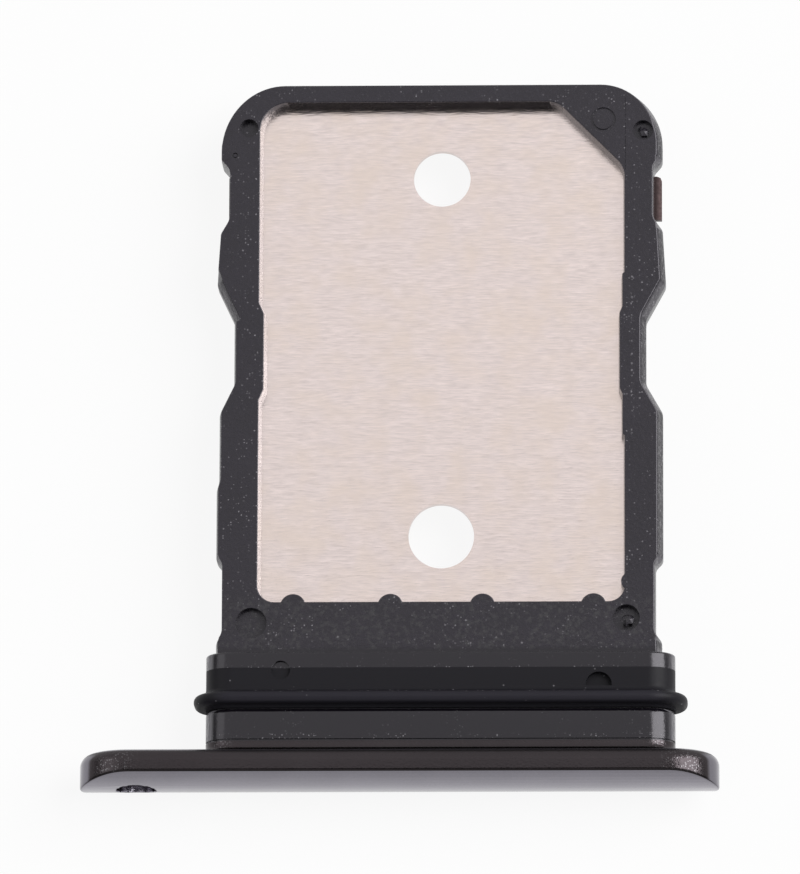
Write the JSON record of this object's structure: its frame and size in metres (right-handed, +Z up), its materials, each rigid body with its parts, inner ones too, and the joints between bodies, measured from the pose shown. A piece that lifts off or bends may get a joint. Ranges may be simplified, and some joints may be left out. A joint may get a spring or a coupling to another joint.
{
  "type": "sim card tray",
  "caption": "Phone card tray: moulded carrier with a keyed card pocket and steel floor, a rubber-sealed neck, and a crowned metal door with an eject-pin hole.",
  "frame": {"origin": "under the middle of the footprint, level with the lower edge of the door", "axes": "+X across the tray, with the eject hole on the -X side; +Y from the door towards the card end; +Z up, out of the card pocket"},
  "size_m": [0.0156, 0.0176, 0.0024],
  "materials": {
    "anodised_door": "dark anodised, fine satin",
    "moulded_black": "glass-filled moulded plastic, matte with fine pale specks",
    "brushed_floor": "rolled stainless sheet with fine cross streaks",
    "seal_rubber": "matte silicone rubber"
  },
  "bodies": {
    "root": {"face_plate": "anodised_door", "tray_frame": "moulded_black", "floor_plate": "brushed_floor", "seal_ring": "seal_rubber"}
  },
  "joints": []
}
